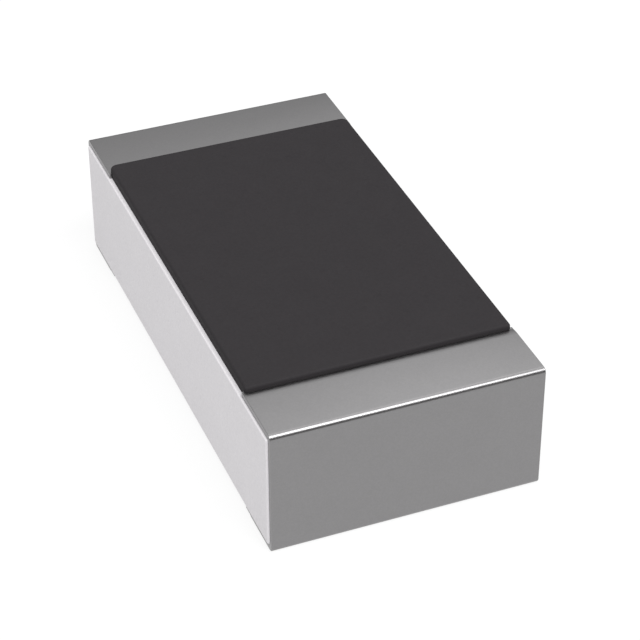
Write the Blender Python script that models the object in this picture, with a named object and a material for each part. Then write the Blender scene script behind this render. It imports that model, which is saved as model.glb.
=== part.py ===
"""Thick-film chip resistor of the 1.6 x 0.8 mm size, built up layer by layer.

The chip lies flat with its length along X, its width along Y and its solder pads down. The origin is the
centre of the finished chip's box. Lengths are written in millimetres. Each mesh is brought to metres when
it is finished, because the bevel and cutting tools work poorly on micrometre layers drawn in metres.

Each layer is an envelope, the solid that its outer surface encloses, less what was there before it. So a
layer fits what carries it at any size.
"""

import math

import bmesh
import bpy
from mathutils import Matrix

# Bonded layers lie this far apart, so that no two meshes cut into each other
BOND_GAP = 0.0002

# Alumina plate, with the slopes of the score lines that it was snapped along
CERAMIC_LENGTH = 1.574
CERAMIC_WIDTH = 0.802
CERAMIC_THICKNESS = 0.352
SCORE_BEVEL_WIDTH = 0.003
SCORE_BEVEL_DEPTH = 0.006

# Layer thicknesses, and the height of the coat over the terminals
TOP_ELECTRODE_THICKNESS = 0.005
BOTTOM_ELECTRODE_THICKNESS = 0.012
FILM_THICKNESS = 0.005
GLASS_THICKNESS = 0.006
EDGE_FILM_THICKNESS = 0.003
NICKEL_THICKNESS = 0.005
TIN_THICKNESS = 0.005
COAT_STAND_OFF = 0.014

# Terminals, whose lengths are measured from the plated ends of the chip
TOP_TERMINAL_LENGTH = 0.1965
PAD_LENGTH = 0.2
EDGE_FILM_WRAP = 0.15
TERMINAL_SIDE_INSET = 0.006
EDGE_FILM_CORNER_RADIUS = 0.002
TIN_SIDE_BEVEL = 0.0025

# Protective coat, which was printed with rounder corners at one end
COAT_SIDE_INSET = 0.013
COAT_CORNER_RADIUS_RIGHT = 0.01
COAT_CORNER_RADIUS_LEFT = 0.022
COAT_EDGE_RADIUS = 0.006

# Prints under the coat, each set in from the one that covers it
GLASS_SIDE_MARGIN = 0.045
GLASS_END_MARGIN = 0.03
FILM_SIDE_MARGIN = 0.035
FILM_END_MARGIN = 0.03
FILM_OVERLAP = 0.08
ELECTRODE_CORNER_RADIUS = 0.015
STEP_RAMP = 0.008

# Laser cut that trims the resistance: in from one long side, then along the current
TRIM_KERF = 0.03
TRIM_START = -0.09
TRIM_DEPTH = 0.27
TRIM_RUN = 0.2

# Facets in each quarter turn
TIN_CORNER_STEPS = 3
NICKEL_CORNER_STEPS = 2
EDGE_FILM_CORNER_STEPS = 1
PLAN_CORNER_STEPS = 3
COAT_EDGE_STEPS = 2

# Neighbouring facets that meet at less than this many degrees are shaded as one curve
SMOOTH_ANGLE = 40

# What the layers add to the bare plate, and the height of the finished chip
PLATING = NICKEL_THICKNESS + TIN_THICKNESS
END_BUILD = EDGE_FILM_THICKNESS + PLATING
PAD_BUILD = BOTTOM_ELECTRODE_THICKNESS + END_BUILD
COAT_BUILD = TOP_ELECTRODE_THICKNESS + END_BUILD + COAT_STAND_OFF
CHIP_HEIGHT = PAD_BUILD + CERAMIC_THICKNESS + COAT_BUILD

# Heights
CERAMIC_BOTTOM = PAD_BUILD - CHIP_HEIGHT / 2
CERAMIC_MIDDLE = CERAMIC_BOTTOM + CERAMIC_THICKNESS / 2
CERAMIC_TOP = CERAMIC_BOTTOM + CERAMIC_THICKNESS

# Stations along the length, at the right-hand end
CERAMIC_END = CERAMIC_LENGTH / 2
ELECTRODE_END = CERAMIC_END - SCORE_BEVEL_WIDTH
CHIP_END = CERAMIC_END + END_BUILD
COAT_END = CHIP_END - TOP_TERMINAL_LENGTH
GLASS_END = COAT_END - GLASS_END_MARGIN
FILM_END = GLASS_END - FILM_END_MARGIN
TOP_ELECTRODE_START = FILM_END - FILM_OVERLAP
BOTTOM_ELECTRODE_START = CHIP_END - PAD_LENGTH + PLATING
EDGE_FILM_START = CHIP_END - EDGE_FILM_WRAP

# Half widths
CERAMIC_SIDE = CERAMIC_WIDTH / 2
ELECTRODE_SIDE = CERAMIC_SIDE - TERMINAL_SIDE_INSET - PLATING
COAT_SIDE = CERAMIC_SIDE - COAT_SIDE_INSET
GLASS_SIDE = COAT_SIDE - GLASS_SIDE_MARGIN
FILM_SIDE = GLASS_SIDE - FILM_SIDE_MARGIN


def clear_scene():
    """Removes every object that the scene starts with."""
    for item in list(bpy.data.objects):
        bpy.data.objects.remove(item, do_unlink=True)


def plain_material(name, colour, roughness, metallic):
    """A surface of one colour."""
    surface = bpy.data.materials.new(name)
    surface.use_nodes = True
    shader = surface.node_tree.nodes["Principled BSDF"]
    shader.inputs["Base Color"].default_value = (*colour, 1.0)
    shader.inputs["Roughness"].default_value = roughness
    shader.inputs["Metallic"].default_value = metallic
    surface.diffuse_color = (*colour, 1.0)
    return surface


def mesh_from(form, name):
    """Turns a bmesh's faces outwards and ends the work on it as a mesh."""
    bmesh.ops.recalc_face_normals(form, faces=form.faces)
    mesh = bpy.data.meshes.new(name)
    form.to_mesh(mesh)
    form.free()
    return mesh


def arc(centre, radius, start, turn, steps):
    """Points on a circular arc, both ends included. Angles are in degrees, counter-clockwise."""
    points = []
    for step in range(steps + 1):
        angle = math.radians(start + turn * step / steps)
        points.append((centre[0] + radius * math.cos(angle), centre[1] + radius * math.sin(angle)))
    return points


def rectangle(end, side):
    """Plan outline with square corners, centred on the origin."""
    return [(end, side), (-end, side), (-end, -side), (end, -side)]


def rounded_rectangle(low, high, side, low_radius, high_radius):
    """Plan outline from low to high along X and to both sides in Y, with its four corners rounded.

    The radii are those of the two corners at either end.
    """
    outline = arc((high - high_radius, side - high_radius), high_radius, 0, 90, PLAN_CORNER_STEPS)
    outline += arc((low + low_radius, side - low_radius), low_radius, 90, 90, PLAN_CORNER_STEPS)
    outline += arc((low + low_radius, low_radius - side), low_radius, 180, 90, PLAN_CORNER_STEPS)
    outline += arc((high - high_radius, high_radius - side), high_radius, 270, 90, PLAN_CORNER_STEPS)
    return outline


def loft(name, levels):
    """A closed solid through plan outlines with equally many points, each paired with its height."""
    form = bmesh.new()
    rings = [[form.verts.new((x, y, height)) for x, y in outline] for outline, height in levels]
    for lower, upper in zip(rings, rings[1:]):
        for here in range(len(lower)):
            after = (here + 1) % len(lower)
            form.faces.new((lower[here], lower[after], upper[after], upper[here]))
    form.faces.new(rings[0])
    form.faces.new(rings[-1])
    return mesh_from(form, name)


def extrusion(name, outline, side, bevel=0.0):
    """An outline in X and Z drawn out to both sides in Y, with or without a bevel round its two end faces."""
    form = bmesh.new()
    near = form.faces.new([form.verts.new((x, -side, z)) for x, z in outline])
    drawn = bmesh.ops.extrude_face_region(form, geom=[near], use_keep_orig=True)["geom"]
    far_points = [item for item in drawn if isinstance(item, bmesh.types.BMVert)]
    bmesh.ops.translate(form, verts=far_points, vec=(0, 2 * side, 0))
    if bevel:
        rims = [edge for edge in form.edges if edge.verts[0].co.y * edge.verts[1].co.y > 0]
        bmesh.ops.bevel(form, geom=rims, offset=bevel, segments=1, affect="EDGES")
    return mesh_from(form, name)


def mirrored(mesh):
    """The same solid at the other end of the chip."""
    form = bmesh.new()
    form.from_mesh(mesh)
    bmesh.ops.transform(form, matrix=Matrix.Scale(-1, 4, (1, 0, 0)), verts=form.verts)
    return mesh_from(form, mesh.name)


def subtract(mesh, cutters):
    """What is left of a solid when each cutter has been taken out of it."""
    solid = bpy.data.objects.new("solid", mesh)
    helpers = [solid] + [bpy.data.objects.new("cutter", cutter) for cutter in cutters]
    for helper in helpers:
        bpy.context.scene.collection.objects.link(helper)
    for cutter in helpers[1:]:
        cut = solid.modifiers.new("cut", "BOOLEAN")
        cut.operation = "DIFFERENCE"
        cut.solver = "EXACT"
        cut.object = cutter
    bpy.context.view_layer.update()
    evaluated = solid.evaluated_get(bpy.context.evaluated_depsgraph_get())
    remains = bpy.data.meshes.new_from_object(evaluated)
    for helper in helpers:
        bpy.data.objects.remove(helper, do_unlink=True)
    return remains


def place(name, mesh, surface):
    """Brings a finished solid from millimetres to metres and puts it in the scene under its name."""
    to_metres = Matrix.Scale(0.001, 4)
    mesh.name = name
    mesh.transform(to_metres)
    mesh.shade_smooth()
    mesh.set_sharp_from_angle(angle=math.radians(SMOOTH_ANGLE))
    mesh.materials.clear()
    mesh.materials.append(surface)
    bpy.context.scene.collection.objects.link(bpy.data.objects.new(name, mesh))


def place_pair(name, mesh, surface):
    """Puts a piece of the right-hand end in the scene, and its mirror image at the left-hand end."""
    twin = mirrored(mesh)
    place(name + "_right", mesh, surface)
    place(name + "_left", twin, surface)


def place_fitted_pair(name, build, surface):
    """Puts a metal layer in the scene at both ends, each fitted to its own end of the coat.

    Both are built at the right-hand end, the second against the coat's mirror image, and then turned over.
    """
    coat = coat_envelope(BOND_GAP)
    turned_coat = mirrored(coat)
    place(name + "_right", build(coat, COAT_CORNER_RADIUS_RIGHT), surface)
    place(name + "_left", mirrored(build(turned_coat, COAT_CORNER_RADIUS_LEFT)), surface)


def ceramic_plate(grow=0.0):
    """The alumina plate, whose four top edges slope where they were scored."""
    end = CERAMIC_END + grow
    side = CERAMIC_SIDE + grow
    top = CERAMIC_TOP + grow
    full = rectangle(end, side)
    inset = rectangle(end - SCORE_BEVEL_WIDTH, side - SCORE_BEVEL_WIDTH)
    return loft("ceramic", [(full, CERAMIC_BOTTOM - grow), (full, top - SCORE_BEVEL_DEPTH), (inset, top)])


def electrode(start, foot, head, grow):
    """A printed contact at the right-hand end, from its inner end out to the score line."""
    radius = ELECTRODE_CORNER_RADIUS
    outline = rounded_rectangle(start - grow, ELECTRODE_END + grow, ELECTRODE_SIDE + grow, radius, radius)
    return loft("electrode", [(outline, foot), (outline, head)])


def top_electrode(grow=0.0):
    """The contact that one end of the resistive film lies on."""
    foot = CERAMIC_TOP + BOND_GAP - grow
    head = CERAMIC_TOP + TOP_ELECTRODE_THICKNESS + grow
    return electrode(TOP_ELECTRODE_START, foot, head, grow)


def bottom_electrode(grow=0.0):
    """The contact inside one solder pad."""
    foot = CERAMIC_BOTTOM - BOTTOM_ELECTRODE_THICKNESS - grow
    head = CERAMIC_BOTTOM - BOND_GAP + grow
    return electrode(BOTTOM_ELECTRODE_START, foot, head, grow)


def both_top_electrodes(grow):
    """The two contacts on the top of the plate."""
    right = top_electrode(grow)
    return [right, mirrored(right)]


def print_envelope(name, profile, side, grow):
    """A print that spans the middle of the plate, down to the plate's own surface.

    The profile gives its right half from the middle out: distances, and heights over the plate.
    """
    foot = CERAMIC_TOP + BOND_GAP - grow
    right = [(x, CERAMIC_TOP + height + grow) for x, height in profile]
    end_x, end_z = right.pop()
    right = [(end_x + grow, foot), (end_x + grow, end_z)] + right[::-1]
    left = [(-x, z) for x, z in right[::-1]]
    return extrusion(name, right + left, side + grow)


def film_envelope(grow=0.0):
    """The resistive print before it is cut: it climbs onto both electrodes."""
    low = FILM_THICKNESS
    high = TOP_ELECTRODE_THICKNESS + FILM_THICKNESS
    profile = [(TOP_ELECTRODE_START - STEP_RAMP, low), (TOP_ELECTRODE_START, high), (FILM_END, high)]
    return print_envelope("film", profile, FILM_SIDE, grow)


def trim_slot(grow=0.0):
    """The path of the laser, from outside the glass into the film and then along it, with round ends."""
    half = TRIM_KERF / 2 - grow
    turn_y = TRIM_DEPTH - FILM_SIDE
    outside = -GLASS_SIDE - TRIM_KERF
    path = [(TRIM_START - half, outside), (TRIM_START + half, outside), (TRIM_START + half, turn_y - half)]
    path += arc((TRIM_START + TRIM_RUN, turn_y), half, -90, 180, 2 * PLAN_CORNER_STEPS)
    path += arc((TRIM_START, turn_y), half, 90, 90, PLAN_CORNER_STEPS)
    return loft("slot", [(path, CERAMIC_MIDDLE), (path, CERAMIC_TOP + COAT_BUILD)])


def glass_envelope(grow=0.0):
    """The first glass coat, down to the plate, with the laser's slot through it."""
    low = FILM_THICKNESS + GLASS_THICKNESS
    high = TOP_ELECTRODE_THICKNESS + low
    edge = TOP_ELECTRODE_THICKNESS + GLASS_THICKNESS
    profile = [
        (TOP_ELECTRODE_START - STEP_RAMP, low),
        (TOP_ELECTRODE_START, high),
        (FILM_END, high),
        (FILM_END + STEP_RAMP, edge),
        (GLASS_END, edge),
    ]
    return subtract(print_envelope("glass", profile, GLASS_SIDE, grow), [trim_slot(grow)])


def coat_envelope(grow=0.0):
    """The protective coat with its round corners and soft upper edge, down to the plate."""
    end = COAT_END + grow
    side = COAT_SIDE + grow
    top = CERAMIC_TOP + COAT_BUILD + grow
    foot = CERAMIC_TOP + BOND_GAP - grow
    left, right = COAT_CORNER_RADIUS_LEFT, COAT_CORNER_RADIUS_RIGHT
    levels = [(rounded_rectangle(-end, end, side, left, right), foot)]
    edge = arc((COAT_EDGE_RADIUS, -COAT_EDGE_RADIUS), COAT_EDGE_RADIUS, 180, -90, COAT_EDGE_STEPS)
    for inward, height in edge:
        rim = rounded_rectangle(inward - end, end - inward, side - inward, left - inward, right - inward)
        levels.append((rim, top + height))
    return loft("coat", levels)


def metal_envelope(corner, build, steps, grow=0.0, covers_pad=True, bevel=0.0):
    """The outer form of the right-hand terminal when metal of the thickness build lies over its edge film.

    It is wrapped over the top, the end and the underside, and runs on into the plate behind them. Over the
    inner end of the bottom electrode, past the edge film, its underside lies higher by the film's thickness.
    On top the nickel stops at the foot of the coat's round corner, whose radius is given first.
    """
    cover = EDGE_FILM_THICKNESS + build + grow
    end = CERAMIC_END + cover
    top = CERAMIC_TOP + TOP_ELECTRODE_THICKNESS + cover
    bottom = CERAMIC_BOTTOM - BOTTOM_ELECTRODE_THICKNESS - cover
    radius = EDGE_FILM_CORNER_RADIUS + build + grow
    hidden = COAT_END - corner + NICKEL_THICKNESS - build - grow
    wrap_start = EDGE_FILM_START - build - grow
    outline = [(hidden, CERAMIC_MIDDLE)]
    if covers_pad:
        pad_start = BOTTOM_ELECTRODE_START - build - grow
        pad_bottom = bottom + EDGE_FILM_THICKNESS
        outline += [(pad_start, CERAMIC_MIDDLE), (pad_start, pad_bottom)]
        outline.append((wrap_start - STEP_RAMP, pad_bottom))
    else:
        outline.append((wrap_start, CERAMIC_MIDDLE))
    outline.append((wrap_start, bottom))
    outline += arc((end - radius, bottom + radius), radius, -90, 90, steps)
    outline += arc((end - radius, top - radius), radius, 0, 90, steps)
    outline.append((hidden, top))
    return extrusion("metal", outline, ELECTRODE_SIDE + build + grow, bevel)


def resistive_film():
    """The finished resistor: the print, cut free of the electrodes and trimmed."""
    return subtract(film_envelope(), [trim_slot(), *both_top_electrodes(BOND_GAP)])


def glass_passivation():
    """The glass that the film is sealed with before it is trimmed."""
    return subtract(glass_envelope(), [film_envelope(BOND_GAP), *both_top_electrodes(BOND_GAP)])


def protective_coat():
    """The dark outer coat, which fills the laser's cut down to the plate."""
    return subtract(coat_envelope(), [glass_envelope(BOND_GAP), *both_top_electrodes(BOND_GAP)])


def edge_electrode(coat, corner):
    """The metal film that joins the top and bottom electrodes round the end of the plate."""
    form = metal_envelope(corner, 0.0, EDGE_FILM_CORNER_STEPS, covers_pad=False)
    printed = [top_electrode(BOND_GAP), bottom_electrode(BOND_GAP)]
    return subtract(form, [ceramic_plate(BOND_GAP), *printed, coat])


def nickel_barrier(coat, corner):
    """The nickel that covers the edge film and what it leaves bare of the electrodes."""
    form = metal_envelope(corner, NICKEL_THICKNESS, NICKEL_CORNER_STEPS)
    film = metal_envelope(corner, 0.0, EDGE_FILM_CORNER_STEPS, BOND_GAP, covers_pad=False)
    printed = [top_electrode(BOND_GAP), bottom_electrode(BOND_GAP)]
    return subtract(form, [ceramic_plate(BOND_GAP), *printed, film, coat])


def tin_plating(coat, corner):
    """The outer tin, which is what shows of a terminal and takes the solder."""
    form = metal_envelope(corner, PLATING, TIN_CORNER_STEPS, bevel=TIN_SIDE_BEVEL)
    nickel = metal_envelope(corner, NICKEL_THICKNESS, NICKEL_CORNER_STEPS, BOND_GAP)
    return subtract(form, [ceramic_plate(BOND_GAP), nickel, coat])


def main():
    """Builds the chip in the order in which it is made."""
    clear_scene()
    alumina = plain_material("alumina", (0.63, 0.61, 0.63), 0.55, 0.0)
    silver = plain_material("silver_paste", (0.75, 0.74, 0.71), 0.45, 1.0)
    resistive = plain_material("resistive_paste", (0.03, 0.03, 0.035), 0.6, 0.0)
    glass = plain_material("glass_frit", (0.16, 0.2, 0.17), 0.2, 0.0)
    epoxy = plain_material("dark_epoxy", (0.034, 0.031, 0.034), 0.7, 0.0)
    nichrome = plain_material("nickel_chromium", (0.48, 0.46, 0.44), 0.35, 1.0)
    nickel = plain_material("nickel", (0.66, 0.63, 0.57), 0.3, 1.0)
    tin = plain_material("matte_tin", (0.3, 0.295, 0.3), 0.3, 1.0)

    place("ceramic_substrate", ceramic_plate(), alumina)
    place_pair("bottom_electrode", bottom_electrode(), silver)
    place_pair("top_electrode", top_electrode(), silver)
    place("resistive_film", resistive_film(), resistive)
    place("glass_passivation", glass_passivation(), glass)
    place("protective_coat", protective_coat(), epoxy)
    place_fitted_pair("edge_electrode", edge_electrode, nichrome)
    place_fitted_pair("nickel_barrier", nickel_barrier, nickel)
    place_fitted_pair("tin_plating", tin_plating, tin)


main()
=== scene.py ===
"""Thick-film chip resistor, dressed and lit as in its photograph.

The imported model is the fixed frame. The four pieces that show are modelled again over it with fine round
edges: the scored alumina plate, the dark coat and the tin on the two terminals. The layers inside keep their
solids and get a finish of their own. Shapes are drawn in millimetres and brought to metres when they are
done. Textures are measured in millimetres too.
"""

import logging
import math
from dataclasses import dataclass, field
from enum import Enum

import bmesh
import bpy
from mathutils import Matrix, Quaternion, Vector

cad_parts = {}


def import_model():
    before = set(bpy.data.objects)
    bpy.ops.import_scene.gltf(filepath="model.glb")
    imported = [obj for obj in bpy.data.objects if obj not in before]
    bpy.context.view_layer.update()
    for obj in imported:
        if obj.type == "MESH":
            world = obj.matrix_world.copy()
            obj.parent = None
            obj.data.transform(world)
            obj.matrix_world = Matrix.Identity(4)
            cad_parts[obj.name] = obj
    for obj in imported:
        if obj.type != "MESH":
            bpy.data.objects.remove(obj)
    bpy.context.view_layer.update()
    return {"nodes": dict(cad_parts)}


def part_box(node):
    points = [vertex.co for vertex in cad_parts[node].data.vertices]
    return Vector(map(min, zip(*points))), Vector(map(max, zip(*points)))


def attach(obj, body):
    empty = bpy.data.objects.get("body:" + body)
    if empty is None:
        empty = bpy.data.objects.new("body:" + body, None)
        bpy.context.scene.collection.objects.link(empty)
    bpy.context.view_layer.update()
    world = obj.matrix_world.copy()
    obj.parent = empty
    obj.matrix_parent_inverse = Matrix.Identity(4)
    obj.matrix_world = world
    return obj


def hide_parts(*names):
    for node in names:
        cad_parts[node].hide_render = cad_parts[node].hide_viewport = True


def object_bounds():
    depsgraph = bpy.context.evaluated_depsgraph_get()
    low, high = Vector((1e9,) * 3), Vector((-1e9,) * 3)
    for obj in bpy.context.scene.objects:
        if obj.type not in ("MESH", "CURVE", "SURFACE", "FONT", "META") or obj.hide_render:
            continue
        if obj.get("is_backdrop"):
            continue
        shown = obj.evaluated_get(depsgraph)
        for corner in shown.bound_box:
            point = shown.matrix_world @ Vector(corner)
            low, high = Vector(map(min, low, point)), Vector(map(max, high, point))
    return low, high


LOG = logging.getLogger("chip_resistor")

METRE = 1000.0
MILLIMETRE = 0.001
BODY = "root"
SHARP_ANGLE = 40.0
WHITE = (1.0, 1.0, 1.0, 1.0)
BLACK = (0.0, 0.0, 0.0, 1.0)


class End(Enum):
    """The two ends of the chip, each with the sign of its side along X."""

    RIGHT = 1
    LEFT = -1

    @property
    def word(self) -> str:
        """The end's name as the nodes spell it."""
        return self.name.lower()


class Pattern(Enum):
    """How one scale of a surface's texture looks."""

    CLOUDS = "soft patches that run into each other"
    GRAINS = "a mosaic of cells, each of one shade"
    # Pits are real bumped hollows, and their colour is also painted darker, a painted shade.
    PITS = "sparse round hollows"


@dataclass(frozen=True)
class Texture:
    """One scale of a surface's texture.

    Attributes:
        pattern: The kind of pattern.
        size: Width of one patch, grain or pit, in millimetres.
        tint: How far it moves the colour from the finish's dark towards its light tone.
        relief: Height of the pattern, in millimetres.
    """

    pattern: Pattern
    size: float
    tint: float
    relief: float


class NodeDraft:
    """A material's node tree while it is being wired.

    A pit is level under PIT_FLOOR and ends at PIT_RIM, both shares of its cell's width.
    """

    CLOUD_DETAIL = 3.0
    CLOUD_ROUGHNESS = 0.55
    PIT_FLOOR = 0.05
    PIT_RIM = 0.22

    def __init__(self, name: str) -> None:
        """Starts a material that holds only a shader and its output.

        Args:
            name: The material's name.
        """
        self.material = bpy.data.materials.new(name)
        self.material.use_nodes = True
        self.tree = self.material.node_tree
        self.shader = self.tree.nodes["Principled BSDF"]

    def add(self, kind: str, **settings: object) -> bpy.types.Node:
        """Adds a node.

        Args:
            kind: The node's type, without its ShaderNode prefix.
            **settings: Properties to set on it.

        Returns:
            The new node.
        """
        node = self.tree.nodes.new("ShaderNode" + kind)
        for key, value in settings.items():
            setattr(node, key, value)
        return node

    def link(self, source: bpy.types.NodeSocket, target: bpy.types.NodeSocket) -> None:
        """Joins an output to an input."""
        self.tree.links.new(source, target)

    def object_millimetres(self) -> bpy.types.NodeSocket:
        """Wires the surface point.

        Returns:
            Its place in the chip's own frame, in millimetres.
        """
        place = self.add("TexCoord")
        mapping = self.add("Mapping", vector_type="POINT")
        mapping.inputs["Scale"].default_value = (METRE, METRE, METRE)
        self.link(place.outputs["Object"], mapping.inputs["Vector"])
        return mapping.outputs["Vector"]

    def pattern(self, texture: Texture, point: bpy.types.NodeSocket) -> bpy.types.NodeSocket:
        """Wires one scale of texture.

        Args:
            texture: What it looks like.
            point: The surface point in millimetres.

        Returns:
            A value from 0 to 1 whose mean is about one half.
        """
        if texture.pattern is Pattern.CLOUDS:
            node = self.add("TexNoise")
            node.inputs["Detail"].default_value = self.CLOUD_DETAIL
            node.inputs["Roughness"].default_value = self.CLOUD_ROUGHNESS
            value = node.outputs["Fac"]
        else:
            node = self.add("TexVoronoi", feature="F1")
            value = node.outputs["Distance"]
            if texture.pattern is Pattern.GRAINS:
                value = self.add("SeparateColor").outputs["Red"]
                self.link(node.outputs["Color"], value.node.inputs["Color"])
        node.inputs["Scale"].default_value = 1.0 / texture.size
        self.link(point, node.inputs["Vector"])
        # The pit value also sets the colour, so the hollows are painted darker as painted shade.
        if texture.pattern is Pattern.PITS:
            value = self.pits(value)
        return value

    def pits(self, distance: bpy.types.NodeSocket) -> bpy.types.NodeSocket:
        """Makes a cell's distance field a flat surface with a small hollow in each cell's middle.

        Args:
            distance: Distance from the cell's middle, as a share of its width.

        Returns:
            0 in the hollows and 1 between them.
        """
        spread = self.add("MapRange", interpolation_type="SMOOTHSTEP")
        spread.inputs["From Min"].default_value = self.PIT_FLOOR
        spread.inputs["From Max"].default_value = self.PIT_RIM
        self.link(distance, spread.inputs["Value"])
        return spread.outputs["Result"]

    def weighted_sum(self, parts: list[tuple[bpy.types.NodeSocket, float]]) -> bpy.types.NodeSocket:
        """One half, plus each value's distance from one half times its weight.

        Args:
            parts: Values with their weights.

        Returns:
            The sum, held between 0 and 1.
        """
        total = None
        for value, weight in parts:
            step = self.add("Math", operation="MULTIPLY_ADD", use_clamp=False)
            step.inputs[1].default_value = weight
            step.inputs[2].default_value = 0.5 * (1.0 - weight) if total is None else -0.5 * weight
            self.link(value, step.inputs[0])
            if total is not None:
                joined = self.add("Math", operation="ADD", use_clamp=True)
                self.link(total, joined.inputs[0])
                self.link(step.outputs[0], joined.inputs[1])
                step = joined
            total = step.outputs[0]
        return total


@dataclass(frozen=True)
class Finish:
    """The surface of one layer.

    Attributes:
        name: The material's name.
        slot: The record's material slot that it belongs to; not used.
        dark: The darkest tone of the colour.
        light: The lightest tone of the colour.
        roughness: Roughness at the dark and at the light tone.
        metallic: 1 for a metal and 0 for the rest.
        specular: Strength of the clear reflection of what isn't a metal.
        textures: The scales of its texture, from coarse to fine.
        grazing: How bright its reflection stays where it is seen edge-on.
    """

    name: str
    slot: str
    dark: tuple[float, float, float]
    light: tuple[float, float, float]
    roughness: tuple[float, float]
    metallic: float
    specular: float
    textures: tuple[Texture, ...]
    grazing: float = 1.0

    def material(self) -> bpy.types.Material:
        """Builds the finish as a node material, unless it was built before.

        Returns:
            The one material that all its pieces share.
        """
        known = bpy.data.materials.get(self.name)
        if known is not None:
            return known
        draft = NodeDraft(self.name)
        draft.shader.inputs["Metallic"].default_value = self.metallic
        draft.shader.inputs["Specular IOR Level"].default_value = self.specular
        draft.shader.inputs["Specular Tint"].default_value = (*[self.grazing] * 3, 1.0)
        point = draft.object_millimetres()
        values = [draft.pattern(texture, point) for texture in self.textures]
        # The pits make this tone darker in their hollows, a painted shade; the clouds and grains are the
        # surface's own mottling.
        tone = draft.weighted_sum([(value, texture.tint) for value, texture in zip(values, self.textures)])
        self.colour(draft, tone)
        self.relief(draft, values)
        return draft.material

    def colour(self, draft: NodeDraft, tone: bpy.types.NodeSocket) -> None:
        """Blends the dark and light tones, and the roughness with them.

        Args:
            draft: The material's tree.
            tone: 0 where the surface is darkest and 1 where it is lightest.
        """
        blend = draft.add("Mix", data_type="RGBA")
        darkest, lightest = [item for item in blend.inputs if item.type == "RGBA"]
        darkest.default_value = (*self.dark, 1.0)
        lightest.default_value = (*self.light, 1.0)
        draft.link(tone, blend.inputs["Factor"])
        result = next(item for item in blend.outputs if item.type == "RGBA")
        draft.link(result, draft.shader.inputs["Base Color"])
        spread = draft.add("MapRange")
        spread.inputs["To Min"].default_value = self.roughness[0]
        spread.inputs["To Max"].default_value = self.roughness[1]
        draft.link(tone, spread.inputs["Value"])
        draft.link(spread.outputs["Result"], draft.shader.inputs["Roughness"])

    def relief(self, draft: NodeDraft, values: list[bpy.types.NodeSocket]) -> None:
        """Chains one bump for each scale of the texture.

        Args:
            draft: The material's tree.
            values: Each scale's pattern.
        """
        normal = None
        for value, texture in zip(values, self.textures):
            bump = draft.add("Bump")
            bump.inputs["Distance"].default_value = texture.relief * MILLIMETRE
            draft.link(value, bump.inputs["Height"])
            if normal is not None:
                draft.link(normal, bump.inputs["Normal"])
            normal = bump.outputs["Normal"]
        draft.link(normal, draft.shader.inputs["Normal"])

    def dress(self, piece: bpy.types.Object) -> None:
        """Makes this the only material of a piece.

        Args:
            piece: A new piece or a node of the frame.
        """
        if not piece.material_slots:
            piece.data.materials.append(self.material())
        for slot in piece.material_slots:
            slot.material = self.material()


ALUMINA = Finish(
    name="sintered alumina",
    slot="alumina",
    dark=(0.585, 0.57, 0.587),
    light=(0.665, 0.648, 0.667),
    roughness=(0.62, 0.5),
    metallic=0.0,
    specular=0.25,
    textures=(
        Texture(Pattern.CLOUDS, 0.11, 0.35, 0.0004),
        Texture(Pattern.GRAINS, 0.005, 0.45, 0.00012),
        Texture(Pattern.PITS, 0.03, 0.15, 0.0005),
    ),
)
COAT_RESIN = Finish(
    name="dark coat resin",
    slot="dark_epoxy",
    dark=(0.0223, 0.0205, 0.0220),
    light=(0.0269, 0.0247, 0.0265),
    roughness=(0.7, 0.6),
    metallic=0.0,
    specular=0.055,
    textures=(
        Texture(Pattern.CLOUDS, 0.09, 0.5, 0.0006),
        Texture(Pattern.GRAINS, 0.006, 0.35, 0.0001),
        Texture(Pattern.PITS, 0.045, 0.2, 0.0004),
    ),
)
TIN = Finish(
    name="matte tin",
    slot="matte_tin",
    dark=(0.238, 0.234, 0.237),
    light=(0.272, 0.268, 0.271),
    roughness=(0.345, 0.285),
    metallic=1.0,
    specular=0.5,
    textures=(
        Texture(Pattern.CLOUDS, 0.07, 0.35, 0.0002),
        Texture(Pattern.GRAINS, 0.004, 0.35, 0.00002),
    ),
    grazing=0.95,
)
NICKEL = Finish(
    name="plated nickel",
    slot="nickel",
    dark=(0.58, 0.55, 0.49),
    light=(0.68, 0.65, 0.59),
    roughness=(0.36, 0.26),
    metallic=1.0,
    specular=0.5,
    textures=(
        Texture(Pattern.CLOUDS, 0.05, 0.5, 0.0002),
        Texture(Pattern.GRAINS, 0.002, 0.4, 0.00004),
    ),
)
EDGE_FILM = Finish(
    name="sputtered nickel and chromium",
    slot="nickel_chromium",
    dark=(0.42, 0.40, 0.385),
    light=(0.52, 0.50, 0.48),
    roughness=(0.4, 0.32),
    metallic=1.0,
    specular=0.5,
    textures=(
        Texture(Pattern.CLOUDS, 0.03, 0.6, 0.0002),
        Texture(Pattern.GRAINS, 0.003, 0.3, 0.00004),
    ),
)
SILVER_PASTE = Finish(
    name="fired silver paste",
    slot="silver_paste",
    dark=(0.66, 0.65, 0.61),
    light=(0.80, 0.79, 0.76),
    roughness=(0.55, 0.4),
    metallic=1.0,
    specular=0.5,
    textures=(
        Texture(Pattern.CLOUDS, 0.08, 0.5, 0.0004),
        Texture(Pattern.GRAINS, 0.006, 0.4, 0.0002),
    ),
)
RESISTIVE_PASTE = Finish(
    name="fired resistive paste",
    slot="resistive_paste",
    dark=(0.018, 0.018, 0.021),
    light=(0.045, 0.045, 0.05),
    roughness=(0.65, 0.5),
    metallic=0.0,
    specular=0.4,
    textures=(
        Texture(Pattern.CLOUDS, 0.06, 0.4, 0.0003),
        Texture(Pattern.GRAINS, 0.004, 0.6, 0.0001),
    ),
)
GLASS_FRIT = Finish(
    name="fired glass frit",
    slot="glass_frit",
    dark=(0.12, 0.155, 0.13),
    light=(0.19, 0.235, 0.2),
    roughness=(0.2, 0.12),
    metallic=0.0,
    specular=0.5,
    textures=(
        Texture(Pattern.CLOUDS, 0.1, 0.6, 0.0004),
        Texture(Pattern.PITS, 0.05, 0.3, 0.0006),
    ),
)


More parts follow.
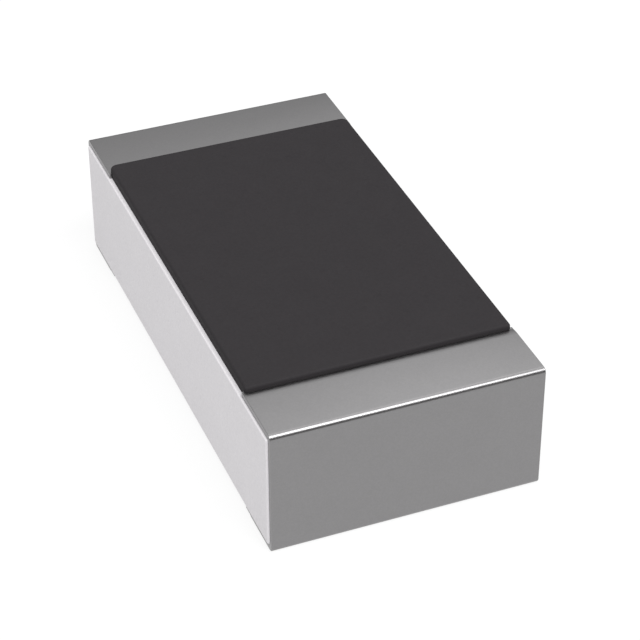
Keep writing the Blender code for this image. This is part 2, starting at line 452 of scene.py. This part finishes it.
def arc(centre: tuple[float, float], radius: float, start: float, steps: int) -> list[tuple[float, float]]:
    """Points on a quarter circle, both ends included.

    Args:
        centre: The middle of the circle.
        radius: Its radius.
        start: Where it starts, in degrees, counter-clockwise from the first axis.
        steps: How many facets it has.

    Returns:
        The points, counter-clockwise.
    """
    points = []
    for step in range(steps + 1):
        angle = math.radians(start + 90 * step / steps)
        points.append((centre[0] + radius * math.cos(angle), centre[1] + radius * math.sin(angle)))
    return points


def mesh_from(form: bmesh.types.BMesh, name: str) -> bpy.types.Mesh:
    """Turns a form's faces outwards and ends the work on it.

    Args:
        form: The form, which is freed.
        name: Its name.

    Returns:
        The form as a mesh.
    """
    bmesh.ops.recalc_face_normals(form, faces=form.faces)
    mesh = bpy.data.meshes.new(name)
    form.to_mesh(mesh)
    form.free()
    return mesh


def block(low: Vector, high: Vector) -> bpy.types.Mesh:
    """A box to cut with.

    Args:
        low: Its lowest corner.
        high: Its highest corner.

    Returns:
        The box.
    """
    form = bmesh.new()
    bmesh.ops.create_cube(form, size=1.0)
    bmesh.ops.scale(form, vec=high - low, verts=form.verts)
    bmesh.ops.translate(form, vec=(low + high) / 2, verts=form.verts)
    return mesh_from(form, "block")


def evaluated_mesh(item: bpy.types.Object) -> bpy.types.Mesh:
    """Runs an object's modifiers.

    Args:
        item: The object, which stays as it is.

    Returns:
        The mesh that they leave.
    """
    bpy.context.view_layer.update()
    graph = bpy.context.evaluated_depsgraph_get()
    return bpy.data.meshes.new_from_object(item.evaluated_get(graph))


def subtract(mesh: bpy.types.Mesh, cutters: list[bpy.types.Mesh]) -> bpy.types.Mesh:
    """Cuts a solid.

    Args:
        mesh: The solid.
        cutters: What is taken out of it, in this order.

    Returns:
        What is left of it.
    """
    solid = bpy.data.objects.new("solid", mesh)
    helpers = [solid] + [bpy.data.objects.new("cutter", cutter) for cutter in cutters]
    for helper in helpers:
        bpy.context.scene.collection.objects.link(helper)
    for cutter in helpers[1:]:
        cut = solid.modifiers.new("cut", "BOOLEAN")
        cut.operation = "DIFFERENCE"
        cut.solver = "EXACT"
        cut.object = cutter
    remains = evaluated_mesh(solid)
    for helper in helpers:
        bpy.data.objects.remove(helper, do_unlink=True)
    return remains


def mirrored(mesh: bpy.types.Mesh) -> bpy.types.Mesh:
    """Mirrors a solid to the other end of the chip.

    Args:
        mesh: The solid, which stays as it is.

    Returns:
        Its mirror image, with its faces outwards.
    """
    form = bmesh.new()
    form.from_mesh(mesh)
    bmesh.ops.transform(form, matrix=Matrix.Scale(-1, 4, (1, 0, 0)), verts=form.verts)
    return mesh_from(form, mesh.name)


def node_box(node: str, grow: float = 0.0) -> tuple[Vector, Vector]:
    """A frame node's box in millimetres.

    Args:
        node: The node's name.
        grow: How far each face is moved out.

    Returns:
        Its lowest and its highest corner.
    """
    low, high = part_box(node)
    margin = Vector((grow, grow, grow))
    return low * METRE - margin, high * METRE + margin


def finished_piece(name: str, mesh: bpy.types.Mesh, finish: Finish, *nodes: str) -> bpy.types.Object:
    """Brings a solid to metres, shades its rounds smooth and seats it on the chip in place of its nodes.

    Args:
        name: The piece's name.
        mesh: Its form, in millimetres.
        finish: Its surface.
        *nodes: The frame's nodes that it stands for.

    Returns:
        The piece.
    """
    mesh.name = name
    mesh.transform(Matrix.Scale(MILLIMETRE, 4))
    mesh.materials.clear()
    mesh.shade_smooth()
    mesh.set_sharp_from_angle(angle=math.radians(SHARP_ANGLE))
    piece = bpy.data.objects.new(name, mesh)
    bpy.context.scene.collection.objects.link(piece)
    even = piece.modifiers.new("even shading", "WEIGHTED_NORMAL")
    even.keep_sharp = True
    piece.data = evaluated_mesh(piece)
    piece.modifiers.clear()
    piece.data.name = name
    finish.dress(piece)
    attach(piece, BODY)
    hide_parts(*nodes)
    LOG.info("%s: %d faces", name, len(piece.data.polygons))
    return piece


class TreeDraft:
    """A Geometry Nodes tree while it is being wired."""

    def __init__(self, name: str) -> None:
        """Starts a tree that returns one geometry.

        Args:
            name: The tree's name.
        """
        self.tree = bpy.data.node_groups.new(name, "GeometryNodeTree")
        self.tree.interface.new_socket("Geometry", in_out="OUTPUT", socket_type="NodeSocketGeometry")

    def inputs(self, sizes: tuple[str, ...], counts: tuple[str, ...]) -> bpy.types.NodeOutputs:
        """Names the tree's inputs.

        Args:
            sizes: Names of its lengths.
            counts: Names of its whole numbers.

        Returns:
            The sockets that carry them inside the tree.
        """
        for name in sizes:
            self.tree.interface.new_socket(name, in_out="INPUT", socket_type="NodeSocketFloat")
        for name in counts:
            self.tree.interface.new_socket(name, in_out="INPUT", socket_type="NodeSocketInt")
        self.tree.interface.new_socket("Finish", in_out="INPUT", socket_type="NodeSocketMaterial")
        return self.add("NodeGroupInput").outputs

    def add(self, kind: str, **settings: object) -> bpy.types.Node:
        """Adds a node.

        Args:
            kind: The node's full type.
            **settings: Properties to set on it.

        Returns:
            The new node.
        """
        node = self.tree.nodes.new(kind)
        for key, value in settings.items():
            setattr(node, key, value)
        return node

    def feed(self, node: bpy.types.Node, **values: object) -> bpy.types.NodeSocket:
        """Links or sets a node's inputs.

        Args:
            node: The node.
            **values: An output or a constant for each input, named with underscores for spaces.

        Returns:
            The node's first output.
        """
        for name, value in values.items():
            target = node.inputs[name.replace("_", " ")]
            if isinstance(value, bpy.types.NodeSocket):
                self.tree.links.new(value, target)
            else:
                target.default_value = value
        return node.outputs[0]

    def math(self, operation: str, first: object, second: object) -> bpy.types.NodeSocket:
        """Wires one sum.

        Args:
            operation: What is done with the two values.
            first: An output or a constant.
            second: Another one.

        Returns:
            The result.
        """
        node = self.add("ShaderNodeMath", operation=operation)
        for target, value in zip(node.inputs, (first, second)):
            if isinstance(value, bpy.types.NodeSocket):
                self.tree.links.new(value, target)
            else:
                target.default_value = value
        return node.outputs[0]

    def position(self) -> bpy.types.NodeOutputs:
        """The coordinates of each point."""
        place = self.add("ShaderNodeSeparateXYZ")
        self.feed(place, Vector=self.add("GeometryNodeInputPosition").outputs[0])
        return place.outputs

    def vector(self, x: object, y: object, z: object) -> bpy.types.NodeSocket:
        """A vector of three values."""
        return self.feed(self.add("ShaderNodeCombineXYZ"), X=x, Y=y, Z=z)

    def join(self, *parts: bpy.types.NodeSocket) -> bpy.types.NodeSocket:
        """Joins geometries.

        Args:
            *parts: The geometries.

        Returns:
            All of them as one.
        """
        node = self.add("GeometryNodeJoinGeometry")
        for part in parts:
            self.tree.links.new(part, node.inputs[0])
        return node.outputs[0]

    def finish(self, geometry: bpy.types.NodeSocket, material: bpy.types.NodeSocket) -> None:
        """Ends the tree with real geometry in its material.

        Args:
            geometry: What the tree made.
            material: The input that carries its material.
        """
        real = self.feed(self.add("GeometryNodeRealizeInstances"), Geometry=geometry)
        dressed = self.feed(self.add("GeometryNodeSetMaterial"), Geometry=real, Material=material)
        self.tree.links.new(dressed, self.add("NodeGroupOutput").inputs[0])


@dataclass
class RoundedSlab:
    """The rule that the plate and the coat share: a slab with round plan corners and a soft upper rim.

    It is a Geometry Nodes tree. The wall and the rim are one profile that is swept round the plan, and a face
    closes it above and below. Points nearer than SEAM are one point, and an edge with fewer faces than
    OPEN_LIMIT lies on an open rim.

    Attributes:
        length: Size along X.
        width: Size along Y.
        foot: Height of the underside.
        top: Height of the upper face.
        left_radius: Radius of the two plan corners at the left-hand end, larger than the rim's width.
        right_radius: Radius of those at the right-hand end.
        rim_width: How far the rim reaches in.
        rim_depth: How far the rim reaches down.
        corner_steps: Facets round each plan corner.
        rim_steps: Facets down the rim.
    """

    length: float
    width: float
    foot: float
    top: float
    left_radius: float
    right_radius: float
    rim_width: float
    rim_depth: float
    corner_steps: int = 12
    rim_steps: int = 8

    SIZES = ("Length", "Width", "Foot", "Top", "Left Radius", "Right Radius", "Rim Width", "Rim Depth")
    COUNTS = ("Corner Steps", "Rim Steps")
    SEAM = 0.00005
    OPEN_LIMIT = 1.5

    def mesh(self, finish: Finish) -> bpy.types.Mesh:
        """Runs the tree with this slab's sizes.

        Args:
            finish: Its surface.

        Returns:
            A plain closed mesh, in millimetres.
        """
        tree = self.tree()
        holder = bpy.data.objects.new("slab", bpy.data.meshes.new("slab"))
        bpy.context.scene.collection.objects.link(holder)
        maker = holder.modifiers.new("slab", "NODES")
        maker.node_group = tree
        for item in tree.interface.items_tree:
            if item.in_out == "INPUT" and item.name == "Finish":
                maker[item.identifier] = finish.material()
            elif item.in_out == "INPUT":
                maker[item.identifier] = getattr(self, item.name.lower().replace(" ", "_"))
        made = evaluated_mesh(holder)
        bpy.data.objects.remove(holder, do_unlink=True)
        form = bmesh.new()
        form.from_mesh(made)
        return mesh_from(form, "slab")

    def tree(self) -> bpy.types.NodeTree:
        """Wires the tree, whose inputs are named after this class's fields.

        Returns:
            The tree.
        """
        draft = TreeDraft("Rounded slab")
        given = draft.inputs(self.SIZES, self.COUNTS)
        wall = draft.feed(
            draft.add("GeometryNodeCurveToMesh"),
            Curve=self.outline(draft, given),
            Profile_Curve=self.profile(draft, given),
        )
        upper = self.cap(draft, wall, given["Top"])
        lower = self.cap(draft, wall, given["Foot"])
        whole = draft.feed(
            draft.add("GeometryNodeMergeByDistance"),
            Geometry=draft.join(wall, upper, lower),
            Distance=self.SEAM,
        )
        draft.finish(whole, given["Finish"])
        return draft.tree

    def outline(self, draft: TreeDraft, given: bpy.types.NodeOutputs) -> bpy.types.NodeSocket:
        """Wires the plan outline.

        Args:
            draft: The tree.
            given: Its inputs.

        Returns:
            A closed curve on the ground.
        """
        plan = draft.feed(
            draft.add("GeometryNodeCurvePrimitiveQuadrilateral", mode="RECTANGLE"),
            Width=given["Length"],
            Height=given["Width"],
        )
        at_left = draft.math("LESS_THAN", draft.position()["X"], 0.0)
        difference = draft.math("SUBTRACT", given["Left Radius"], given["Right Radius"])
        return draft.feed(
            draft.add("GeometryNodeFilletCurve", mode="POLY"),
            Curve=plan,
            Count=given["Corner Steps"],
            Radius=draft.math("ADD", given["Right Radius"], draft.math("MULTIPLY", at_left, difference)),
        )

    def profile(self, draft: TreeDraft, given: bpy.types.NodeOutputs) -> bpy.types.NodeSocket:
        """Wires the section of wall and rim. The sweep turns its Y downwards, so heights are negative here.

        Args:
            draft: The tree.
            given: Its inputs.

        Returns:
            The section's two curves, which meet at the shoulder.
        """
        shoulder = draft.math("SUBTRACT", given["Rim Depth"], given["Top"])
        quarter = draft.feed(
            draft.add("GeometryNodeCurveArc", mode="RADIUS"),
            Resolution=draft.math("ADD", given["Rim Steps"], 1.0),
            Radius=1.0,
            Sweep_Angle=math.pi / 2,
        )
        rim = draft.feed(
            draft.add("GeometryNodeTransform"),
            Geometry=quarter,
            Scale=draft.vector(given["Rim Width"], draft.math("MULTIPLY", given["Rim Depth"], -1.0), 1.0),
            Translation=draft.vector(draft.math("MULTIPLY", given["Rim Width"], -1.0), shoulder, 0.0),
        )
        wall = draft.feed(
            draft.add("GeometryNodeCurvePrimitiveLine", mode="POINTS"),
            Start=draft.vector(0.0, draft.math("MULTIPLY", given["Foot"], -1.0), 0.0),
            End=draft.vector(0.0, shoulder, 0.0),
        )
        return draft.join(rim, wall)

    def cap(
        self, draft: TreeDraft, wall: bpy.types.NodeSocket, height: bpy.types.NodeSocket
    ) -> bpy.types.NodeSocket:
        """A face that closes the wall's open rim at some height.

        Args:
            draft: The tree.
            wall: The swept wall, open above and below.
            height: Where the rim lies.

        Returns:
            One face.
        """
        offset = draft.math("ABSOLUTE", draft.math("SUBTRACT", draft.position()["Z"], height), 0.0)
        faces = draft.add("GeometryNodeInputMeshEdgeNeighbors").outputs["Face Count"]
        rim = draft.feed(
            draft.add("GeometryNodeMeshToCurve"),
            Mesh=wall,
            Selection=draft.math(
                "MULTIPLY",
                draft.math("LESS_THAN", offset, self.SEAM),
                draft.math("LESS_THAN", faces, self.OPEN_LIMIT),
            ),
        )
        face = draft.feed(draft.add("GeometryNodeFillCurve", mode="NGONS"), Curve=rim)
        return draft.feed(
            draft.add("GeometryNodeTransform"),
            Geometry=face,
            Translation=draft.vector(0.0, 0.0, height),
        )


@dataclass
class CeramicPlate:
    """The alumina plate: sharp snapped sides, and a scored upper rim.

    Attributes:
        node: The frame's node.
        arris: Radius of its upright edges.
        score_width: How far the score's slope reaches in.
        score_depth: How far it reaches down.
        corner_steps: Facets round each upright edge.
    """

    node: str = "ceramic_substrate"
    arris: float = 0.006
    score_width: float = 0.003
    score_depth: float = 0.006
    corner_steps: int = 6

    def build(self) -> bpy.types.Object:
        """Makes the plate and dresses it.

        Returns:
            The plate.
        """
        low, high = node_box(self.node)
        slab = RoundedSlab(
            length=high.x - low.x,
            width=high.y - low.y,
            foot=low.z,
            top=high.z,
            left_radius=self.arris,
            right_radius=self.arris,
            rim_width=self.score_width,
            rim_depth=self.score_depth,
            corner_steps=self.corner_steps,
        )
        return finished_piece("alumina_plate", slab.mesh(ALUMINA), ALUMINA, self.node)


@dataclass
class ProtectiveCoat:
    """The dark coat, hollow underneath where it lies over the glass and the electrodes.

    Attributes:
        node: The frame's node.
        left_radius: Radius of its plan corners at the left-hand end, where the print came out rounder.
        right_radius: Radius of those at the right-hand end.
        edge_width: How far its soft upper edge reaches in.
        edge_depth: How far it reaches down.
        setback: How far its right-hand end stays behind the solid's, as in the photo.
        gap: Distance that it keeps from the layers that it covers.
        reach: How far its hollows go on under those layers, to open at its foot.
    """

    node: str = "protective_coat"
    left_radius: float = 0.022
    right_radius: float = 0.01
    edge_width: float = 0.0085
    edge_depth: float = 0.009
    setback: float = 0.006
    gap: float = 0.0002
    reach: float = 0.0008

    COVERED = ("glass_passivation", "top_electrode_right", "top_electrode_left")

    def box(self, grow: float = 0.0) -> tuple[Vector, Vector]:
        """The coat's box in millimetres.

        Args:
            grow: How far each face is moved out.

        Returns:
            Its lowest and its highest corner.
        """
        low, high = node_box(self.node, grow)
        high.x -= self.setback
        return low, high

    def envelope(self, grow: float = 0.0) -> bpy.types.Mesh:
        """The coat as one solid slab, down to the plate.

        Args:
            grow: How far each face is moved out.

        Returns:
            The slab, in millimetres.
        """
        low, high = self.box(grow)
        slab = RoundedSlab(
            length=high.x - low.x,
            width=high.y - low.y,
            foot=low.z,
            top=high.z,
            left_radius=self.left_radius + grow,
            right_radius=self.right_radius + grow,
            rim_width=self.edge_width + grow,
            rim_depth=self.edge_depth + grow,
        )
        mesh = slab.mesh(COAT_RESIN)
        mesh.transform(Matrix.Translation(((low.x + high.x) / 2, 0.0, 0.0)))
        return mesh

    def build(self) -> bpy.types.Object:
        """Makes the coat and dresses it.

        Returns:
            The coat.
        """
        down = Vector((0.0, 0.0, self.reach))
        covered = [node_box(node, self.gap) for node in self.COVERED]
        pockets = [block(low - down, high) for low, high in covered]
        return finished_piece("dark_coat", subtract(self.envelope(), pockets), COAT_RESIN, self.node)


@dataclass
class Terminal:
    """One end of the chip: the tin that shows, and the metal layers inside it.

    SINKS says how far the tin's top sinks where it meets the coat, which it does at one end alone. ROUND is
    the bevel shape that gives a circle's arc.

    Attributes:
        end: Which end it is.
        coat: The coat that the tin butts against.
        sink_reach: Length over which the tin's top sinks.
        thickness: Thickness of the tin.
        plating: Thickness of the tin and the nickel together.
        edge_radius: Radius of the long edges at the chip's end.
        core_radius: Radius of the hollow's edges there, which clears the nickel's.
        side_radius: Radius of the edges along the sides.
        wrap_start: Where the underside drops from the electrode's level to the edge film's.
        ramp: Length of that step.
        drop: Height of that step.
        gap: Distance that it keeps from its neighbours.
        sink_steps: Facets down the slope where the tin sinks.
        edge_steps: Facets round each long edge.
        side_steps: Facets round each edge along the sides.
    """

    end: End
    coat: ProtectiveCoat
    sink_reach: float = 0.03
    thickness: float = 0.005
    plating: float = 0.01
    edge_radius: float = 0.016
    core_radius: float = 0.0072
    side_radius: float = 0.002
    wrap_start: float = 0.64
    ramp: float = 0.008
    drop: float = 0.003
    gap: float = 0.0002
    sink_steps: int = 10
    edge_steps: int = 12
    side_steps: int = 4

    SINKS = {End.RIGHT: 0.0025, End.LEFT: 0.0}
    ROUND = 0.5

    def layer_box(self, layer: str) -> tuple[Vector, Vector]:
        """The box of one of this end's layers, as if it lay at the right-hand end.

        Args:
            layer: The node's name without its end.

        Returns:
            Its lowest and its highest corner.
        """
        low, high = node_box(layer + "_" + self.end.word)
        if self.end is End.LEFT:
            low.x, high.x = -high.x, -low.x
        return low, high

    def section(self, build: float) -> list[tuple[float, float]]:
        """The outline of the terminal in X and Z, at the right-hand end.

        Args:
            build: How much of the outer metal is taken off all round.

        Returns:
            Its points.
        """
        low, high = self.layer_box("tin_plating")
        contact, _ = self.layer_box("bottom_electrode")
        start = low.x + build
        bottom = low.z + build
        top = high.z - build
        end = high.x - build
        pad_start = contact.x - self.plating + build
        middle = (low.z + high.z) / 2
        radius = self.core_radius if build else self.edge_radius
        wrap = self.wrap_start + build
        outline = [(start, middle), (pad_start, middle), (pad_start, bottom + self.drop)]
        outline += [(wrap - self.ramp, bottom + self.drop), (wrap, bottom)]
        outline += arc((end - radius, bottom + radius), radius, -90, self.edge_steps)
        outline += arc((end - radius, top - radius), radius, 0, self.edge_steps)
        sink = self.SINKS[self.end]
        if build or not sink:
            return outline + [(start, top)]
        _, coat_end = self.coat.box()
        for step in range(self.sink_steps + 1):
            share = step / self.sink_steps
            outline.append((coat_end.x + self.sink_reach * (1 - share), top - sink * share**2))
        return outline + [(start, top - sink)]

    def shell(self, build: float) -> bpy.types.Mesh:
        """The terminal's outline drawn out over its width.

        Args:
            build: How much of the outer metal is taken off all round.

        Returns:
            The solid, in millimetres, with round side edges where no metal is taken off.
        """
        _, high = self.layer_box("tin_plating")
        side = high.y - build
        form = bmesh.new()
        near = form.faces.new([form.verts.new((x, -side, z)) for x, z in self.section(build)])
        drawn = bmesh.ops.extrude_face_region(form, geom=[near], use_keep_orig=True)["geom"]
        far_points = [item for item in drawn if isinstance(item, bmesh.types.BMVert)]
        bmesh.ops.translate(form, verts=far_points, vec=(0, 2 * side, 0))
        if not build:
            rims = [edge for edge in form.edges if edge.verts[0].co.y * edge.verts[1].co.y > 0]
            bmesh.ops.bevel(
                form,
                geom=rims,
                offset=self.side_radius,
                segments=self.side_steps,
                profile=self.ROUND,
                affect="EDGES",
            )
        return mesh_from(form, "terminal")

    def build(self) -> bpy.types.Object:
        """Makes the tin and dresses it.

        Returns:
            The tin.
        """
        plate_low, plate_high = node_box("ceramic_substrate", self.gap)
        coat = self.coat.envelope(self.gap)
        if self.end is End.LEFT:
            coat = mirrored(coat)
        cutters = [block(plate_low, plate_high), self.shell(self.thickness - self.gap), coat]
        mesh = subtract(self.shell(0.0), cutters)
        if self.end is End.LEFT:
            mesh = mirrored(mesh)
        return finished_piece("tin_" + self.end.word, mesh, TIN, "tin_plating_" + self.end.word)

    def dress_layers(self, nodes: dict[str, bpy.types.Object]) -> None:
        """Gives the layers inside the tin their finishes.

        Args:
            nodes: The frame's nodes by name.
        """
        layers = {
            "nickel_barrier_": NICKEL,
            "edge_electrode_": EDGE_FILM,
            "top_electrode_": SILVER_PASTE,
            "bottom_electrode_": SILVER_PASTE,
        }
        for start, finish in layers.items():
            finish.dress(nodes[start + self.end.word])


@dataclass
class ResistorElement:
    """The trimmed film and the glass over it, which lie hidden under the coat."""

    def dress(self, nodes: dict[str, bpy.types.Object]) -> None:
        """Gives both their finishes.

        Args:
            nodes: The frame's nodes by name.
        """
        RESISTIVE_PASTE.dress(nodes["resistive_film"])
        GLASS_FRIT.dress(nodes["glass_passivation"])


@dataclass
class PhotoCamera:
    """The photograph's view of the chip.

    Attributes:
        target: The point at the middle of the picture, in metres.
        azimuth: Degrees round the chip from a view along +Y.
        elevation: Degrees over the horizon.
        roll: Degrees that the camera leans to its left.
        distance: From the target, in metres.
        lens: Focal length, in millimetres.
        sensor: Width of the sensor, in millimetres.
        clip: Nearest and farthest that it sees, as shares of its distance.
    """

    target: Vector = field(default_factory=lambda: Vector((0.0000536, 0.0000402, -0.0000507)))
    azimuth: float = 68.417
    elevation: float = 35.662
    roll: float = -0.138
    distance: float = 0.00658322
    lens: float = 126.08
    sensor: float = 36.0
    clip: tuple[float, float] = (0.01, 1000.0)

    def build(self) -> None:
        """Places the camera and makes it the scene's."""
        turn, rise = math.radians(self.azimuth), math.radians(self.elevation)
        back = Vector((math.sin(turn) * math.cos(rise), -math.cos(turn) * math.cos(rise), math.sin(rise)))
        data = bpy.data.cameras.new("photo camera")
        data.lens = self.lens
        data.sensor_width = self.sensor
        data.clip_start, data.clip_end = [self.distance * share for share in self.clip]
        camera = bpy.data.objects.new("photo camera", data)
        camera.rotation_mode = "QUATERNION"
        camera.location = self.target + back * self.distance
        level = (-back).to_track_quat("-Z", "Y")
        camera.rotation_quaternion = level @ Quaternion((0, 0, 1), math.radians(self.roll))
        bpy.context.scene.collection.objects.link(camera)
        bpy.context.scene.camera = camera


def seen_level(tree: bpy.types.NodeTree, seen: float, cast: float) -> bpy.types.NodeSocket:
    """A brightness that differs between what is seen of a surface and the light that it casts.

    Args:
        tree: A material's or the world's tree.
        seen: Brightness for the camera, for reflections and through glass.
        cast: Brightness for all other rays.

    Returns:
        The brightness.
    """
    path = tree.nodes.new("ShaderNodeLightPath")
    total = path.outputs["Is Camera Ray"]
    for kind in ("Is Glossy Ray", "Is Transmission Ray"):
        larger = tree.nodes.new("ShaderNodeMath")
        larger.operation = "MAXIMUM"
        tree.links.new(total, larger.inputs[0])
        tree.links.new(path.outputs[kind], larger.inputs[1])
        total = larger.outputs[0]
    level = tree.nodes.new("ShaderNodeMapRange")
    level.inputs["To Min"].default_value = cast
    level.inputs["To Max"].default_value = seen
    tree.links.new(total, level.inputs["Value"])
    return level.outputs["Result"]


@dataclass(frozen=True)
class Card:
    """An upright flat card beside the chip, which only metal and gloss show.

    Attributes:
        name: What it is.
        place: Where it stands along X, in metres.
        levels: Its brightness under and over the ramp.
        ramp: Heights between which its brightness rises, in metres.
        sides: Factors on its brightness at the two ends of the fade.
        fade: Range of Y over which the factor changes, in metres.
        height: Its height.
        half_width: Half its width.
    """

    name: str
    place: float
    levels: tuple[float, float]
    ramp: tuple[float, float] = (0.08, 0.341)
    sides: tuple[float, float] = (1.0, 1.0)
    fade: tuple[float, float] = (0.087, 0.158)
    height: float = 0.583
    half_width: float = 0.6

    def build(self, floor: float) -> None:
        """Sets the card on the table.

        Args:
            floor: Height of the table.
        """
        form = bmesh.new()
        side, head = self.half_width, floor + self.height
        outline = [(-side, floor), (side, floor), (side, head), (-side, head)]
        form.faces.new([form.verts.new((self.place, y, z)) for y, z in outline])
        card = bpy.data.objects.new(self.name, mesh_from(form, self.name))
        bpy.context.scene.collection.objects.link(card)
        card.data.materials.append(self.material())
        card.visible_camera = False
        card.visible_diffuse = False
        card.visible_shadow = False
        card.visible_transmission = False
        card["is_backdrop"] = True

    def material(self) -> bpy.types.Material:
        """Wires a glow that rises with height and differs a little from side to side.

        Returns:
            The card's material.
        """
        draft = NodeDraft(self.name)
        draft.material.cycles.emission_sampling = "NONE"
        draft.shader.inputs["Base Color"].default_value = BLACK
        draft.shader.inputs["Specular IOR Level"].default_value = 0.0
        draft.shader.inputs["Emission Color"].default_value = WHITE
        place = draft.add("SeparateXYZ")
        draft.link(draft.add("TexCoord").outputs["Object"], place.inputs["Vector"])
        rising = self.mapped(draft, place.outputs["Z"], self.ramp, self.levels)
        across = self.mapped(draft, place.outputs["Y"], self.fade, self.sides)
        glow = draft.add("Math", operation="MULTIPLY")
        draft.link(rising, glow.inputs[0])
        draft.link(across, glow.inputs[1])
        draft.link(glow.outputs[0], draft.shader.inputs["Emission Strength"])
        return draft.material

    def mapped(
        self,
        draft: NodeDraft,
        value: bpy.types.NodeSocket,
        source: tuple[float, float],
        target: tuple[float, float],
    ) -> bpy.types.NodeSocket:
        """Maps one range to another and holds the value at its ends.

        Args:
            draft: The material's tree.
            value: What is mapped.
            source: The range that it comes from.
            target: The range that it goes to.

        Returns:
            The mapped value.
        """
        node = draft.add("MapRange")
        node.inputs["From Min"].default_value, node.inputs["From Max"].default_value = source
        node.inputs["To Min"].default_value, node.inputs["To Max"].default_value = target
        draft.link(value, node.inputs["Value"])
        return node.outputs["Result"]


NEAR_CARD = Card("grey card", place=0.31, levels=(0.07, 0.07), height=0.312)
FAR_CARD = Card("graded card", place=-0.31, levels=(0.15, 1.6), sides=(0.9, 1.16), height=1.5)


@dataclass
class Studio:
    """A white table under a large soft box, between a grey card and a graded one.

    Attributes:
        table_radius: Size of the table, in metres.
        table_sides: Facets round it.
        table_colour: Its colour under the light, which is the share of its white that shadows can take away.
        table_glow: The rest of its white, as the camera and reflections see it.
        table_bounce: The same as the light that it throws on the chip's sides.
        box_distance: Distance of the soft box from the chip.
        box_lean: Degrees that it stands off the zenith, towards +X.
        box_half_axes: Its half sizes up and down, and along Y.
        box_strength: Brightness of its face.
        ambient: Brightness of the room, which fills the shadows.
        cards: The cards that the metal reflects.
    """

    table_radius: float = 1.5
    table_sides: int = 64
    table_colour: float = 0.12
    table_glow: float = 0.84
    table_bounce: float = 0.64
    box_distance: float = 0.6
    box_lean: float = 29.0
    box_half_axes: tuple[float, float] = (0.165, 0.57)
    box_strength: float = 6.2
    ambient: float = 0.7
    cards: tuple[Card, ...] = (NEAR_CARD, FAR_CARD)

    def build(self) -> None:
        """Sets up the table, the light, the cards and the room."""
        low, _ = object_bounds()
        self.table(low.z)
        self.soft_box()
        for card in self.cards:
            card.build(low.z)
        self.room()
        bpy.context.scene.view_settings.view_transform = "Standard"

    def table(self, height: float) -> None:
        """The pale table that the chip lies on, which keeps its shadow.

        Args:
            height: Height of its surface.
        """
        form = bmesh.new()
        bmesh.ops.create_circle(form, cap_ends=True, segments=self.table_sides, radius=self.table_radius)
        bmesh.ops.translate(form, vec=(0, 0, height), verts=form.verts)
        floor = bpy.data.objects.new("table", mesh_from(form, "table"))
        bpy.context.scene.collection.objects.link(floor)
        draft = NodeDraft("white table")
        draft.material.cycles.emission_sampling = "NONE"
        draft.shader.inputs["Base Color"].default_value = (*[self.table_colour] * 3, 1.0)
        draft.shader.inputs["Roughness"].default_value = 1.0
        draft.shader.inputs["Specular IOR Level"].default_value = 0.0
        draft.shader.inputs["Emission Color"].default_value = WHITE
        glow = seen_level(draft.tree, self.table_glow, self.table_bounce)
        draft.link(glow, draft.shader.inputs["Emission Strength"])
        floor.data.materials.append(draft.material)
        floor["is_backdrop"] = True

    def soft_box(self) -> None:
        """The large oval light over the near end."""
        half_x, half_y = self.box_half_axes
        data = bpy.data.lights.new("soft box", "AREA")
        data.shape = "ELLIPSE"
        data.size = 2 * half_x
        data.size_y = 2 * half_y
        area = math.pi * half_x * half_y
        data.energy = self.box_strength * math.pi * area
        light = bpy.data.objects.new("soft box", data)
        lean = math.radians(self.box_lean)
        light.location = Vector((math.sin(lean), 0.0, math.cos(lean))) * self.box_distance
        light.rotation_euler = (0.0, lean, 0.0)
        light.visible_camera = False
        bpy.context.scene.collection.objects.link(light)

    def room(self) -> None:
        """The room: white to the eye, and dim as a light."""
        world = bpy.data.worlds.new("white room")
        world.use_nodes = True
        world.cycles.sampling_method = "NONE"
        bpy.context.scene.world = world
        tree = world.node_tree
        background = tree.nodes["Background"]
        background.inputs["Color"].default_value = WHITE
        tree.links.new(seen_level(tree, 1.0, self.ambient), background.inputs["Strength"])


def main() -> None:
    """Builds the chip and its studio."""
    logging.basicConfig(level=logging.INFO, format="%(message)s")
    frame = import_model()
    PhotoCamera().build()
    Studio().build()
    coat = ProtectiveCoat()
    CeramicPlate().build()
    coat.build()
    for end in End:
        terminal = Terminal(end, coat)
        terminal.build()
        terminal.dress_layers(frame["nodes"])
    ResistorElement().dress(frame["nodes"])


if __name__ == "__main__":
    main()
